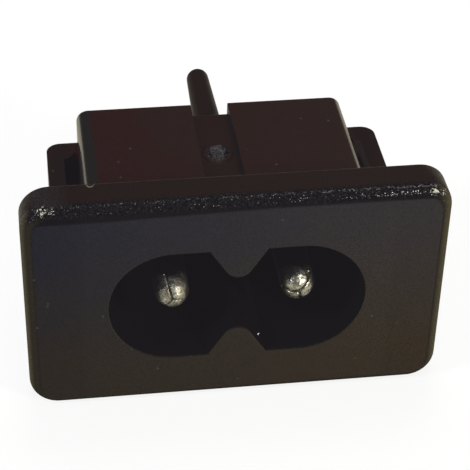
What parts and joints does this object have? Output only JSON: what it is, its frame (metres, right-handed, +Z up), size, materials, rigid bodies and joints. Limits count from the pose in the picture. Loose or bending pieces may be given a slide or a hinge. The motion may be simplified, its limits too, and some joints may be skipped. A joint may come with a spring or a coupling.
{
  "type": "figure eight power inlet",
  "caption": "Snap-in chassis inlet with a flanged figure-eight socket, round contact pins, side latches and solder tabs at the rear.",
  "frame": {"origin": "midway between the two pins, in the plane of the flange's rear face that seats on the panel", "axes": "+X across the socket towards the right pin seen from the front, +Y rearwards through the panel, +Z up"},
  "size_m": [0.0284, 0.0244, 0.0168],
  "materials": {
    "black_plastic": "moulded black plastic, smooth faces with a finely grained flange edge",
    "plated_contact": "bright plated rolled sheet"
  },
  "bodies": {
    "root": {"housing": "black_plastic", "contact_left": "plated_contact", "contact_right": "plated_contact"}
  },
  "joints": []
}
